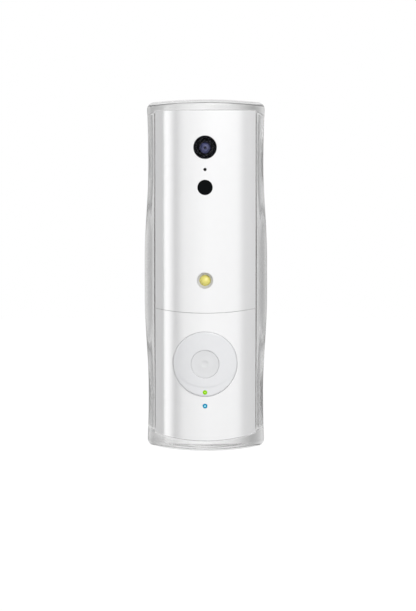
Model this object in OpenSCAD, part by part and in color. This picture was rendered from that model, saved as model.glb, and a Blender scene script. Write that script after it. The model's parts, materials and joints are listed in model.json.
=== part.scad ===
// Video doorbell: a glossy white body with a bowed front, framed by a thick clear
// shell, hung on a wall bracket. Millimetres. +Z is up, +X is to the right of the
// visitor, and the front faces -Y. The origin is the centre of the bracket's back
// face, the face that lies on the wall.

/* [Body] */
// Width of the white body
body_w = 39; // [37:0.5:41]
// Height of the middle of the body's top edge
body_top = 62.8; // [62:0.2:64]
// Height of the middle of the body's bottom edge
body_bottom = -62.6; // [-63.2:0.2:-62]
// Height of the middle of the parting line between the two front covers
seam_z = -14; // [-14.5:0.1:-13]
// How far the top edge, parting line and bottom edge dip in the middle
edge_dip = 1.2; // [0.8:0.1:1.6]
// Distance of the front of the body from the wall
front_depth = 33; // [32:0.5:34]
// Rise of the bowed front above its long edges
face_rise = 9; // [8:0.5:10]
// Wall thickness of the white plastic
wall = 2; // [1.6:0.1:2.2]

/* [Clear shell] */
// Height of the clear shell
shell_h = 137.7; // [136.5:0.1:140]
// Width of the shell at its widest, near half height
belly_w = 49.1; // [47:0.1:51]
// Width of the shell at its two waists
waist_w = 46; // [45:0.1:47]
// Width of the shell at its ends, before the corners are rounded
end_w = 47.2; // [46.2:0.1:49]
// Height of the widest place
belly_z = -1.2; // [-3:0.1:3]
// How far the face of the body stands proud of the shell's bowed front
shell_step = 0.25; // [0.1:0.05:0.5]
// Radius of the shell's corners in the front view
shell_corner_r = 3.2; // [2:0.1:4]

/* [Camera and sensors] */
// Height of the camera
camera_z = 48.9; // [48.5:0.1:49.5]
// Diameter of the camera's round window
window_d = 8.8; // [8:0.1:9.4]
// Height of the microphone hole
mic_z = 40.5; // [40.2:0.1:40.8]
// Diameter of the microphone hole
mic_hole_d = 1.1; // [0.8:0.1:1.4]
// Height of the light and motion sensor
sensor_z = 33.7; // [33.4:0.1:34]
// Diameter of the sensor's dark window
sensor_d = 5.7; // [5:0.1:6]

/* [Lamp] */
// Height of the white light lamp
lamp_z = -1.6; // [-2:0.1:-1]
// Diameter of the lamp's grey ring
lamp_ring_d = 6; // [5.6:0.1:6.4]
// Diameter of the lamp's yellow emitter
lamp_d = 4.2; // [3.8:0.1:4.4]

/* [Bell button] */
// Height of the button's centre
button_z = -33.4; // [-33.6:0.1:-33]
// Diameter of the button
button_d = 24.7; // [24:0.1:25]
// How far the button stands out of the face
button_proud = 0.55; // [0.4:0.05:0.8]
// Diameter of the sunk disc in the middle of the button
button_centre_d = 10.6; // [9:0.1:11]
// Depth of the sunk disc
button_recess = 0.45; // [0.2:0.05:0.6]
// Travel of the button
button_travel = 0.6; // [0.4:0.1:0.6]
// Height of the green status light, in the button
green_z = -44.1; // [-44.2:0.1:-44]
// Height of the blue status light, in the lower cover
blue_z = -49.4; // [-49.6:0.1:-49.2]
// Diameter of both status lights
light_d = 1.76; // [1.5:0.02:1.9]

/* [Wall bracket] */
// Thickness of the bracket's plate
bracket_t = 2.6; // [2.4:0.1:2.7]
// Distance between the two wall screws
screw_spacing = 68; // [68:1:68]
// Radius of the wall screw holes
screw_hole_r = 2.1; // [1.8:0.1:2.3]
// Travel of the doorbell as it lifts off its hooks
lift = 7; // [6:0.5:7]

/* [Hidden] */
$fn = 48;

// Clearances between fixed pieces, and round a piece that slides
gap = 0.15;
slide_gap = 0.09;

// Bowed front: an upright cylinder through the apex and both long edges
body_half = body_w / 2;
face_r = (body_half * body_half + face_rise * face_rise) / (2 * face_rise);
face_y = -front_depth;
face_axis_y = face_y + face_r;
// Radius, seen from the front, of the dipped edges and of the parting line
dip_r = (body_half * body_half + edge_dip * edge_dip) / (2 * edge_dip);

// Layers from the wall to the front
back_y = -3.4;
back_inner_y = back_y - wall;
split_y = -10;
main_board_y = -11;
main_board_t = 1.2;
main_face_y = main_board_y - main_board_t;
button_board_y = -18;
button_board_t = 1;
button_face_y = button_board_y - button_board_t;
camera_board_y = -19.4;
camera_board_t = 1;
camera_face_y = camera_board_y - camera_board_t;
sensor_board_y = -25.2;
sensor_board_t = 0.8;
sensor_face_y = sensor_board_y - sensor_board_t;

// Optics of the camera, from front to back
window_r = window_d / 2;
window_y = face_y + 0.5;
window_t = 0.9;
bezel_t = 1.2;
aperture_r = 3.05;
barrel_r = 2.9;
barrel_y = [window_y + 1.3, -23.2];
front_lens_y = barrel_y[0] + 0.2;
front_lens_t = 1.6;
front_lens_r = 2.15;
rear_lens_y = [-26, -24.2];
rear_lens_r = 1.86;
filter_y = -22.6;
filter_t = 0.4;

// Lamp, from front to back
lamp_seat_y = -31.2;
lamp_rim_y = -28.4;
lamp_board_y = [-27.5, -26.3];

// Clear shell
shell_back_y = -3.7;
shell_back_r = 2.5;
// Depth at which the sides are straight, and the length over which the ends round off
rim_y = -14.1;
nose_len = 6;
belly_flat = 7;
waist_at = 45.5;
// Bowed middle of the front, up to where it turns into the sides
bow_r = face_r - shell_step;
bow_x = 19;
bow_angle = asin(bow_x / bow_r);
bow_y = face_axis_y - bow_r * cos(bow_angle);
flange_over = 1.2;
flange_t = 1.5;

// Hooks of the bracket and the screws that hold the two wall sides together
hook_x = 9;
hook_zs = [42, -26];
hook_w = 3;
hook_h = 2.4;
hook_head_w = 6;
hook_head_t = 1.4;
screw_x = 14.4;
housing_screw_zs = [57, -7, -57];
// Screws of the camera board and of the button board
camera_screw_xz = [[-8.4, camera_z + 7.9], [8.4, camera_z - 7.9]];
button_screw_xz = [for (x = [-14.2, 14.2], z = [-20.8, -49]) [x, z]];
// Flat cables: heights of their connectors, and the depth of the connectors' mouths
flex_end_y = -13.4;
flex_t = 0.3;
camera_flex_z = 38.2;
sensor_flex_z = 32.6;
button_flex_z = -16.2;
board_post_x = 13.6;
board_post_zs = [49, -19];

// Speaker
speaker_z = -47;
speaker_r = 11.5;
speaker_y = back_inner_y - 0.5;

// Pocket for the wire terminals
pocket_half = 12;
pocket_z = [8, 30];
pocket_floor_y = -9;
pocket_wall = 1.2;
terminal_x = 5;
terminal_z = 12.5;

reset_z = -8;

// Bell button
button_r = button_d / 2;
button_skirt_y = -25;
button_skin = 1.8;
guide_end_y = -25.4;
centre_r = button_centre_d / 2;
centre_y = face_y - button_proud + button_recess;
dot_r = 1.25;
dot_depth = 0.15;
flange_y = [-30.8, -30.1];
stem_r = 2.2;
switch_half = 3;
switch_h = 3.4;
plunger_r = 1.75;
plunger_out = 1.6;
plunger_y = button_face_y - switch_h - plunger_out;
stem_gap = 0.35;
spring_r = 5;
wire_r = 0.3;
light_r = light_d / 2;

// ---------- shared shapes ----------

// Box between two corners
module block(x, y, z) {
    translate([x[0], y[0], z[0]])
        cube([x[1] - x[0], y[1] - y[0], z[1] - z[0]]);
}

// Round rod along Y from depth y0 to depth y1
module rod(y0, y1, r, x = 0, z = 0) {
    translate([x, y0, z])
        rotate([-90, 0, 0])
            cylinder(r = r, h = y1 - y0);
}

// Round tube along Y
module tube(y0, y1, r, bore, x = 0, z = 0) {
    difference() {
        rod(y0, y1, r, x, z);
        rod(y0 - 1, y1 + 1, bore, x, z);
    }
}

// Plate with rounded corners, lying against a plane of constant depth
module plate(half_x, z, y, r) {
    mid_x = half_x - r;
    block([-mid_x, mid_x], y, z);
    block([-half_x, half_x], y, [z[0] + r, z[1] - r]);
    for (x = [-mid_x, mid_x], cz = [z[0] + r, z[1] - r])
        rod(y[0], y[1], r, x, cz);
}

// Everything behind the bowed front, pulled in by inset
module behind_face(inset = 0) {
    translate([0, face_axis_y, -80])
        cylinder(r = face_r - inset, h = 160);
}

// Cylinder whose lowest line is the dipped edge at height z
module dip_cylinder(z, grow = 0) {
    rod(-60, 20, dip_r + grow, 0, z + dip_r);
}

// White body's outer form, pulled in by inset, between two depths
module body_form(inset, y0, y1) {
    half = body_half - inset;
    difference() {
        intersection() {
            behind_face(inset);
            block([-half, half], [y0, y1], [-80, 80]);
            dip_cylinder(body_bottom, -inset);
        }
        dip_cylinder(body_top, inset);
    }
}

// Hollow front part of the body, open towards the wall
module front_form() {
    difference() {
        body_form(0, face_y - 1, split_y);
        body_form(wall, face_y - 1, split_y + 1);
    }
}

// Solid inside the front part only, for what is built onto the covers' inner side
module inner_space(reach_y) {
    intersection() {
        body_form(wall / 2, face_y - 1, reach_y);
        children();
    }
}

// Countersunk screw with its head towards the wall, or towards the front
module screw(x, z, head_y, length, shank_r, head_r, head_t, forward = true) {
    dir = forward ? -1 : 1;
    translate([x, head_y, z])
        rotate([forward ? 90 : -90, 0, 0]) {
            difference() {
                cylinder(r = head_r, h = head_t);
                translate([-head_r * 0.7, -0.2, -1])
                    cube([head_r * 1.4, 0.4, 1 + head_t * 0.4]);
                translate([-0.2, -head_r * 0.7, -1])
                    cube([0.4, head_r * 1.4, 1 + head_t * 0.4]);
            }
            translate([0, 0, head_t])
                cylinder(r = shank_r, h = length);
        }
}

// Flat ribbon of a given width along X that follows points in depth and height
module ribbon(points, width, t) {
    n = len(points) - 1;
    side = concat(
        [for (p = points) [p[0], p[1] - t / 2]],
        [for (i = [n:-1:0]) [points[i][0], points[i][1] + t / 2]]
    );
    translate([-width / 2, 0, 0])
        rotate([90, 0, 90])
            linear_extrude(height = width)
                polygon(side);
}

// ---------- wall bracket ----------

module wall_bracket() color("silver") {
    screw_mid = (hook_zs[0] + hook_zs[1]) / 2;
    difference() {
        plate(15, [-34, 52], [-bracket_t, 0], 4);
        for (side = [-1, 1])
            translate([0, 0, screw_mid + side * screw_spacing / 2]) {
                rod(-10, 10, screw_hole_r);
                rod(-10, -bracket_t + 1.3, 4.2);
            }
        // window for the wires
        block([-12, 12], [-10, 10], pocket_z);
    }
    for (side = [-1, 1], z = hook_zs) {
        translate([side * hook_x, 0, z]) {
            block([-hook_w / 2, hook_w / 2], [back_inner_y - 0.3, -bracket_t + 0.5],
                [-hook_h / 2, hook_h / 2]);
            block([-hook_head_w / 2, hook_head_w / 2],
                [back_inner_y - 0.3 - hook_head_t, back_inner_y - 0.3],
                [-hook_h / 2, hook_h / 2]);
        }
    }
}

// ---------- rear housing ----------

// Slot for one hook: the hook rests in its narrow top and leaves by its wide foot
module hook_slot() {
    block([-hook_w / 2 - 0.3, hook_w / 2 + 0.3], [back_inner_y - 1, back_y + 1],
        [-lift, hook_h / 2 + 0.2]);
    block([-hook_head_w / 2 - 0.4, hook_head_w / 2 + 0.4], [back_inner_y - 1, back_y + 1],
        [-lift - hook_h / 2 - 0.4, -lift + hook_h / 2 + 0.4]);
}

// Groove in the rim that takes the seal
module seal_ring(y0, y1, inner, outer) {
    difference() {
        body_form(outer, y0, y1);
        body_form(inner, y0 - 1, y1 + 1);
    }
}

module rear_housing() color("whitesmoke") {
    difference() {
        union() {
            difference() {
                body_form(0, split_y + gap, back_y);
                body_form(wall, split_y - 1, back_inner_y);
            }
            // flange that backs the clear shell
            body_form(-flange_over, back_y - flange_t, back_y);
            // pocket for the wire terminals
            block([-pocket_half - pocket_wall, pocket_half + pocket_wall],
                [pocket_floor_y - pocket_wall, back_inner_y + 0.5],
                [pocket_z[0] - pocket_wall, pocket_z[1] + pocket_wall]);
            for (side = [-1, 1], z = board_post_zs)
                rod(main_board_y, back_inner_y + 0.5, 2.1, side * board_post_x, z);
            for (side = [-1, 1], z = housing_screw_zs)
                rod(split_y + gap, back_inner_y + 0.5, 2.8, side * screw_x, z);
            // rim that locates the speaker
            tube(back_inner_y - 2.6, back_inner_y + 0.5, speaker_r + 1, speaker_r + 0.1, 0,
                speaker_z);
        }
        seal_ring(split_y - 1, split_y + 1, 1.4, 0.6);
        block([-pocket_half, pocket_half], [pocket_floor_y, back_y + 1], pocket_z);
        for (side = [-1, 1], z = hook_zs)
            translate([side * hook_x, 0, z])
                hook_slot();
        for (side = [-1, 1], z = board_post_zs)
            rod(-20, back_inner_y - 0.6, 0.85, side * board_post_x, z);
        for (side = [-1, 1], z = housing_screw_zs) {
            rod(-20, 0, 1.35, side * screw_x, z);
            rod(back_y - 1.5, 0, 2.45, side * screw_x, z);
        }
        // terminal legs
        for (x = [-terminal_x, terminal_x])
            rod(-20, 0, 0.6, x, terminal_z);
        // sound slots behind the speaker
        for (i = [-2:2])
            block([-6.5 + abs(i), 6.5 - abs(i)], [-10, 0],
                [speaker_z + i * 2.8 - 0.6, speaker_z + i * 2.8 + 0.6]);
        rod(-10, 0, 2 + slide_gap, 0, reset_z);
    }
}

// ---------- clear shell ----------

function ease(t) = (1 - cos(180 * t)) / 2;

// Half width of the shell at height z: belly in the middle, waists, wider ends
function shell_half(z) =
    let (a = abs(z - belly_z))
    a < belly_flat ? belly_w / 2
    : a < waist_at
        ? belly_w / 2 - (belly_w - waist_w) / 2 * ease((a - belly_flat) / (waist_at - belly_flat))
        : waist_w / 2 + (end_w - waist_w) / 2 * pow((a - waist_at) / (shell_h / 2 - waist_at), 2);

// How far an end rounded over a length has come in, as a part of one
function rounded(z, over) =
    let (t = max(0, abs(z) - shell_h / 2 + over) / over)
    sqrt(max(0, 1 - t * t));

function bezier(p, t) =
    let (u = 1 - t)
    u * u * u * p[0] + 3 * u * u * t * p[1] + 3 * u * t * t * p[2] + t * t * t * p[3];

// Curve that turns from the straight side at half width w into the bowed front
function side_curve(w) =
    let (pull = 0.55 * (w - bow_x))
    [[w, rim_y], [w, rim_y - 4.5], [bow_x + pull, bow_y + pull * tan(bow_angle)],
        [bow_x, bow_y]];

// Right half of the front seen from above, from the side to the middle
function front_half(w) = concat(
    [for (i = [0:5]) bezier(side_curve(w), i / 5)],
    [for (i = [1:4])
        let (a = bow_angle * (1 - i / 4))
        [bow_r * sin(a), face_axis_y - bow_r * cos(a)]]
);

// Right half of the back, from the middle to the side
function back_half(w) = concat(
    [for (i = [0:1]) [(w - shell_back_r) * i / 2, shell_back_y]],
    [for (a = [90:-30:30])
        [w - shell_back_r * (1 - cos(a)), shell_back_y - shell_back_r * (1 - sin(a))]]
);

// One ring of points round the shell at height z
function shell_ring(z) =
    let (
        w = shell_half(z),
        right = concat(back_half(w), front_half(w)),
        n = len(right),
        outline = concat(right, [for (i = [n - 2:-1:1]) [-right[i][0], right[i][1]]]),
        narrow = 1 - shell_corner_r * (1 - rounded(z, shell_corner_r)) / w,
        nose = rounded(z, nose_len),
        back = rounded(z, shell_back_r),
        back_mid = shell_back_y - shell_back_r
    )
    [for (p = outline)
        [p[0] * narrow,
            p[1] < rim_y ? rim_y + (p[1] - rim_y) * nose
                : p[1] > back_mid ? back_mid + (p[1] - back_mid) * back : p[1],
            z]];

function shell_heights() =
    let (top = shell_h / 2, straight = top - nose_len, steps = 20)
    concat(
        [for (a = [0:15:75]) -top + nose_len * (1 - cos(a))],
        [for (i = [0:steps]) -straight + i * 2 * straight / steps],
        [for (a = [75:-15:0]) top - nose_len * (1 - cos(a))]
    );

module shell_block() {
    heights = shell_heights();
    rings = [for (z = heights) shell_ring(z)];
    n = len(rings[0]);
    m = len(rings);
    points = concat(
        [for (ring = rings) each ring],
        [[0, -10, -shell_h / 2], [0, -10, shell_h / 2]]
    );
    sides = [
        for (j = [0:m - 2], i = [0:n - 1])
        let (a = j * n + i, b = j * n + (i + 1) % n)
        each [[a, b, b + n], [a, b + n, a + n]]
    ];
    foot = [for (i = [0:n - 1]) [(i + 1) % n, i, m * n]];
    head = [for (i = [0:n - 1]) [(m - 1) * n + i, (m - 1) * n + (i + 1) % n, m * n + 1]];
    polyhedron(points = points, faces = concat(sides, foot, head));
}

module clear_shell() color([0.85, 0.87, 0.88, 0.5]) {
    difference() {
        shell_block();
        body_form(-gap, face_y - 5, 10);
        body_form(-flange_over - gap, back_y - flange_t - gap, 10);
    }
}

module shell_adhesive() color("gainsboro") {
    difference() {
        body_form(-flange_over + 0.05, back_y - flange_t - gap, back_y - flange_t);
        body_form(-gap, face_y, 10);
    }
}

// ---------- front covers ----------

module camera_mount_posts() {
    for (p = camera_screw_xz)
        rod(face_y, camera_face_y, 1.6, p[0], p[1]);
}

module upper_front_cover() color("white") {
    difference() {
        union() {
            front_form();
            inner_space(-27)
                rod(face_y, 0, window_d / 2 + 1.6, 0, camera_z);
            inner_space(-28.5)
                rod(face_y, 0, sensor_d / 2 + 1.4, 0, sensor_z);
            inner_space(-27.5)
                rod(face_y, 0, lamp_ring_d / 2 + 1.9, 0, lamp_z);
            inner_space(camera_face_y)
                camera_mount_posts();
            for (side = [-1, 1]) {
                inner_space(sensor_board_y + 0.6)
                    rod(face_y, 0, 0.9, side * 4.6, sensor_z + 3.6);
                for (z = [housing_screw_zs[0], housing_screw_zs[1]])
                    inner_space(split_y)
                        rod(face_y, 0, 2.6, side * screw_x, z);
            }
        }
        // part below the parting line
        difference() {
            block([-30, 30], [-50, 10], [-80, 20]);
            dip_cylinder(seam_z, -gap / 2);
        }
        rod(-50, -20, window_d / 2 + 0.04, 0, camera_z);
        rod(-50, -20, mic_hole_d / 2, 0, mic_z);
        rod(-50, -20, sensor_d / 2 + 0.04, 0, sensor_z);
        rod(-50, -20, lamp_ring_d / 2 + 0.04, 0, lamp_z);
        for (p = camera_screw_xz)
            rod(camera_face_y - 4, 0, 0.82, p[0], p[1]);
        for (side = [-1, 1], z = [housing_screw_zs[0], housing_screw_zs[1]])
            rod(split_y - 6.6, 0, 1.07, side * screw_x, z);
    }
}

// Tongue of the lower cover that reaches up behind the upper cover
module tongue() {
    half = 11;
    thick = 1.4;
    difference() {
        union() {
            intersection() {
                behind_face(wall + gap);
                block([-half, half], [-40, -20], [seam_z - 3, seam_z + 4.5]);
            }
            // root, joined to the inner side of the lower cover
            intersection() {
                behind_face(wall / 2);
                block([-half, half], [-40, -20], [seam_z - 5, seam_z - 0.6]);
            }
        }
        behind_face(wall + thick);
    }
}

module lower_front_cover() color("white") {
    difference() {
        union() {
            difference() {
                union() {
                    front_form();
                    inner_space(guide_end_y)
                        rod(face_y, 0, button_r + 1.6, 0, button_z);
                    inner_space(-25)
                        rod(face_y, 0, light_r + 1.1, 0, blue_z);
                    for (p = button_screw_xz)
                        inner_space(button_face_y)
                            rod(face_y, 0, 1.7, p[0], p[1]);
                    for (side = [-1, 1])
                        inner_space(split_y)
                            rod(face_y, 0, 2.6, side * screw_x, housing_screw_zs[2]);
                }
                // part above the parting line
                dip_cylinder(seam_z, gap / 2);
            }
            tongue();
        }
        rod(-50, -20, button_r + slide_gap, 0, button_z);
        rod(-50, -20, light_r + 0.03, 0, blue_z);
        for (p = button_screw_xz)
            rod(button_face_y - 4, 0, 0.72, p[0], p[1]);
        for (side = [-1, 1])
            rod(split_y - 6.6, 0, 1.07, side * screw_x, housing_screw_zs[2]);
    }
}

module cover_seal() color("dimgray") {
    seal_ring(split_y, split_y + 0.95, 1.35, 0.65);
}

module housing_screws() color("lightgray") {
    for (side = [-1, 1], z = housing_screw_zs)
        screw(side * screw_x, z, back_y - 0.1, 11, 1.05, 2.2, 1.3);
}

// ---------- wire terminals ----------

module terminal_block() color("darkolivegreen") {
    difference() {
        block([-10, 10], [pocket_floor_y, pocket_floor_y + 4.4],
            [terminal_z - 4, terminal_z + 4]);
        for (x = [-terminal_x, terminal_x]) {
            rod(pocket_floor_y + 1.6, 0, 2.3, x, terminal_z);
            // way in for the wire
            block([x - 1.6, x + 1.6], [pocket_floor_y + 1.6, 0], [terminal_z, terminal_z + 9]);
        }
    }
    for (x = [-terminal_x, terminal_x])
        rod(main_board_y, pocket_floor_y + 0.5, 0.5, x, terminal_z);
}

module terminal_screws() color("goldenrod") {
    for (x = [-terminal_x, terminal_x])
        difference() {
            union() {
                rod(pocket_floor_y + 2.9, pocket_floor_y + 4.3, 2.1, x, terminal_z);
                rod(pocket_floor_y + 1.6, pocket_floor_y + 2.9, 1.4, x, terminal_z);
            }
            block([x - 1.5, x + 1.5], [pocket_floor_y + 3.6, 0],
                [terminal_z - 0.25, terminal_z + 0.25]);
        }
}

module terminal_seal() color("darkslategray") {
    difference() {
        block([-14, 14], [back_y, back_y + 0.6], [pocket_z[0] - 2, pocket_z[1] + 2]);
        block([-12.6, 12.6], [back_y - 1, back_y + 1],
            [pocket_z[0] - 0.6, pocket_z[1] + 0.6]);
    }
}

// ---------- camera ----------

module camera_window() color([0.1, 0.1, 0.14, 0.6])
    rod(window_y, window_y + window_t, window_r, 0, camera_z);

module camera_bezel() color("black")
    tube(window_y + window_t, window_y + window_t + bezel_t, window_r, aperture_r, 0,
        camera_z);

module lens_barrel() color("black") {
    bore_step = front_lens_y + front_lens_t;
    difference() {
        rod(barrel_y[0], barrel_y[1], barrel_r, 0, camera_z);
        rod(barrel_y[0] - 1, bore_step + 0.1, front_lens_r + 0.05, 0, camera_z);
        rod(bore_step, barrel_y[1] + 1, rear_lens_r + 0.04, 0, camera_z);
    }
}

module front_lens() color([0.25, 0.25, 0.45, 0.7]) {
    curve_r = 3.4;
    intersection() {
        rod(front_lens_y, front_lens_y + front_lens_t, front_lens_r, 0, camera_z);
        translate([0, front_lens_y + curve_r, camera_z])
            sphere(r = curve_r);
    }
}

module rear_lens() color([0.3, 0.4, 0.4, 0.7]) {
    curve_r = 2.9;
    intersection() {
        rod(rear_lens_y[0], rear_lens_y[1], rear_lens_r, 0, camera_z);
        translate([0, rear_lens_y[1] - curve_r, camera_z])
            sphere(r = curve_r);
    }
}

module lens_holder() color("black") {
    half = 5;
    wall_in = 1;
    difference() {
        block([-half, half], [rear_lens_y[0], camera_face_y], [camera_z - half, camera_z + half]);
        rod(-30, filter_y, barrel_r + 0.05, 0, camera_z);
        rod(-30, camera_face_y + 1, 2.4, 0, camera_z);
        block([wall_in - half, half - wall_in], [filter_y, 0],
            [camera_z - half + wall_in, camera_z + half - wall_in]);
    }
}

module ir_filter() color([0.6, 0.8, 0.9, 0.5]) {
    half = 3.2;
    block([-half, half], [filter_y + 0.05, filter_y + 0.05 + filter_t],
        [camera_z - half, camera_z + half]);
}

module image_sensor() color("darkslateblue")
    block([-3.6, 3.6], [camera_face_y - 0.9, camera_face_y], [camera_z - 3, camera_z + 3]);

module camera_board() color("darkgreen") {
    half_h = 9.9;
    difference() {
        block([-10.4, 10.4], [camera_face_y, camera_board_y],
            [camera_z - half_h, camera_z + half_h]);
        for (p = camera_screw_xz)
            rod(-30, 0, 0.95, p[0], p[1]);
    }
}

module camera_screws() color("lightgray") {
    for (p = camera_screw_xz)
        screw(p[0], p[1], camera_board_y + 0.9, 4, 0.8, 1.5, 0.9);
}

module camera_flex() color("orange")
    ribbon([[camera_board_y, camera_flex_z + 4.8], [-17.6, camera_flex_z + 4.8],
        [flex_end_y - 0.8, camera_flex_z], [flex_end_y, camera_flex_z]], 8, flex_t);

// ---------- microphone and sensor ----------

module mic_boot() color("dimgray")
    intersection() {
        behind_face(wall + 0.05);
        tube(face_y, sensor_face_y - 1, 2, mic_hole_d / 2, 0, mic_z);
    }

module microphone() color("silver")
    difference() {
        block([-1.75, 1.75], [sensor_face_y - 1, sensor_face_y], [mic_z - 1.35, mic_z + 1.35]);
        rod(-40, sensor_face_y - 0.6, 0.3, 0, mic_z);
    }

module sensor_window() color("black")
    intersection() {
        behind_face(0.05);
        rod(face_y, -31, sensor_d / 2, 0, sensor_z);
    }

module light_sensor() color("dimgray")
    block([-2, 2], [sensor_face_y - 1.5, sensor_face_y], [sensor_z - 2, sensor_z + 2]);

module sensor_board() color("darkgreen") {
    difference() {
        block([-6, 6], [sensor_face_y, sensor_board_y], [sensor_z - 4.6, mic_z + 2.6]);
        for (side = [-1, 1])
            rod(-30, 0, 0.95, side * 4.6, sensor_z + 3.6);
    }
}

module sensor_flex() color("orange")
    ribbon([[sensor_board_y, sensor_flex_z - 2], [-22, sensor_flex_z - 2],
        [flex_end_y - 2.2, sensor_flex_z], [flex_end_y, sensor_flex_z]], 5, flex_t);

// ---------- lamp ----------

module lamp_bezel() color("gray")
    difference() {
        intersection() {
            behind_face(0.3);
            rod(face_y, lamp_rim_y, lamp_ring_d / 2, 0, lamp_z);
        }
        rod(-50, -20, lamp_d / 2 + 0.05, 0, lamp_z);
        // flare round the emitter
        translate([0, face_y - 0.6, lamp_z])
            rotate([-90, 0, 0])
                cylinder(r1 = lamp_ring_d / 2 + 0.6, r2 = lamp_d / 2, h = 2);
    }

module lamp_led() color("khaki") {
    led_r = lamp_d / 2;
    dome_r = led_r - 0.12;
    dome_rise = 1.1;
    ball_r = (dome_r * dome_r + dome_rise * dome_rise) / (2 * dome_rise);
    foot = 1.75;
    rod(lamp_seat_y, lamp_rim_y, led_r, 0, lamp_z);
    intersection() {
        rod(-40, lamp_seat_y, led_r, 0, lamp_z);
        translate([0, lamp_seat_y - dome_rise + ball_r, lamp_z])
            sphere(r = ball_r);
    }
    block([-foot, foot], [lamp_rim_y, lamp_board_y[0]], [lamp_z - foot, lamp_z + foot]);
}

module lamp_board() color("lightgray")
    rod(lamp_board_y[0], lamp_board_y[1], 4.9, 0, lamp_z);

module inner_wires() color("firebrick") {
    // lamp
    for (x = [-2.5, 2.5])
        rod(lamp_board_y[1], main_face_y, 0.45, x, lamp_z);
    // speaker
    for (x = [-1.5, 1.5])
        translate([x, main_board_y - 0.6, -36.4])
            cylinder(r = 0.4, h = 2.4);
}

// ---------- main board ----------

module main_board() color("darkgreen") {
    difference() {
        block([-16.6, 16.6], [main_face_y, main_board_y], [-34, 59.6]);
        for (side = [-1, 1]) {
            for (z = [housing_screw_zs[0], housing_screw_zs[1]])
                block([side * screw_x - 3, side * screw_x + 3], [-20, 0], [z - 3, z + 3]);
            for (z = board_post_zs)
                rod(-20, 0, 1, side * board_post_x, z);
        }
    }
}

module main_board_screws() color("lightgray") {
    for (side = [-1, 1], z = board_post_zs)
        screw(side * board_post_x, z, main_face_y - 1, 5.4, 0.8, 1.7, 1, false);
}

module processor_shield() color("silver")
    block([-9, 9], [main_face_y - 2.4, main_face_y], [8, 28]);

module wifi_module() color("silver")
    block([-8, 8], [main_face_y - 2.2, main_face_y], [43, 55]);

module wifi_antenna() color("goldenrod") {
    block([-9, 9], [main_face_y - 4, main_face_y - 3.6], [56.6, 59.4]);
    for (x = [-9, 2])
        block([x, x + 0.8], [main_face_y - 3.6, main_face_y], [57, 59]);
}

module power_inductor() color("dimgray")
    difference() {
        block([3, 12], [main_face_y - 4, main_face_y], [-31, -22]);
        rod(-30, main_face_y - 3.4, 3.4, 7.5, -26.5);
    }

module power_capacitor() color("slategray") {
    rod(main_face_y - 4.6, main_face_y - 0.6, 3.1, -7.5, -26.5);
    block([-10.6, -4.4], [main_face_y - 0.6, main_face_y], [-29.6, -23.4]);
}

module flex_connectors() color("ivory") {
    for (z = [camera_flex_z, sensor_flex_z, button_flex_z])
        block([-5, 5], [main_face_y - 1.2, main_face_y], [z - 1.4, z + 1.4]);
}

module reset_switch() color("silver") {
    block([-2.2, 2.2], [main_board_y, main_board_y + 1.6], [reset_z - 2.2, reset_z + 2.2]);
    rod(main_board_y + 1.6, main_board_y + 2, 1.2, 0, reset_z);
}

// ---------- speaker ----------

module speaker_frame() color("dimgray") {
    difference() {
        rod(speaker_y - 3.4, speaker_y, speaker_r, 0, speaker_z);
        rod(speaker_y - 2.4, 0, speaker_r - 1, 0, speaker_z);
        rod(-30, 0, 5.2, 0, speaker_z);
    }
}

module speaker_cone() color("black") {
    paper_t = 0.35;
    translate([0, speaker_y - 0.4, speaker_z])
        rotate([90, 0, 0])
            difference() {
                cylinder(r1 = speaker_r - 1.1, r2 = 3.6, h = 1.8);
                translate([0, 0, -paper_t])
                    cylinder(r1 = speaker_r - 1.1, r2 = 3.6, h = 1.8);
            }
}

module speaker_magnet() color("silver")
    rod(speaker_y - 6.2, speaker_y - 2.5, 5.1, 0, speaker_z);

module speaker_gasket() color("darkslategray")
    tube(speaker_y, back_inner_y, speaker_r, speaker_r - 1.4, 0, speaker_z);

// ---------- button electronics ----------

module button_board() color("darkgreen") {
    difference() {
        block([-15.8, 15.8], [button_face_y, button_board_y], [-51.4, -19]);
        for (p = button_screw_xz)
            rod(-30, 0, 0.9, p[0], p[1]);
    }
}

module button_board_screws() color("lightgray") {
    for (p = button_screw_xz)
        screw(p[0], p[1], button_board_y + 0.8, 4, 0.7, 1.3, 0.8);
}

module button_switch() color("dimgray") {
    difference() {
        block([-switch_half, switch_half], [button_face_y - switch_h, button_face_y],
            [button_z - switch_half, button_z + switch_half]);
        rod(-40, button_face_y - 1.5, plunger_r + 0.05, 0, button_z);
    }
}

module switch_plunger() color("black")
    rod(plunger_y, button_face_y - 1.9, plunger_r, 0, button_z);

module button_flex() color("orange")
    ribbon([[button_board_y, button_flex_z - 4], [-16.2, button_flex_z - 4],
        [flex_end_y - 1.2, button_flex_z], [flex_end_y, button_flex_z]], 6, flex_t);

module status_leds() color("lightyellow") {
    for (z = [green_z, blue_z])
        block([-0.8, 0.8], [button_face_y - 1, button_face_y], [z - 0.8, z + 0.8]);
}

module blue_light_pipe() color("deepskyblue")
    intersection() {
        behind_face(0.02);
        rod(face_y, button_face_y - 1.4, light_r, 0, blue_z);
    }

// ---------- bell button ----------

module bell_button() color("gainsboro") {
    difference() {
        intersection() {
            behind_face(-button_proud);
            rod(face_y - 5, button_skirt_y, button_r, 0, button_z);
        }
        // hollow behind the skin
        intersection() {
            behind_face(button_skin - button_proud);
            rod(face_y - 5, 0, button_r - 1.1, 0, button_z);
        }
        rod(-50, 0, centre_r + 0.05, 0, button_z);
        rod(-50, 0, light_r + 0.03, 0, green_z);
    }
}

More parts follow.
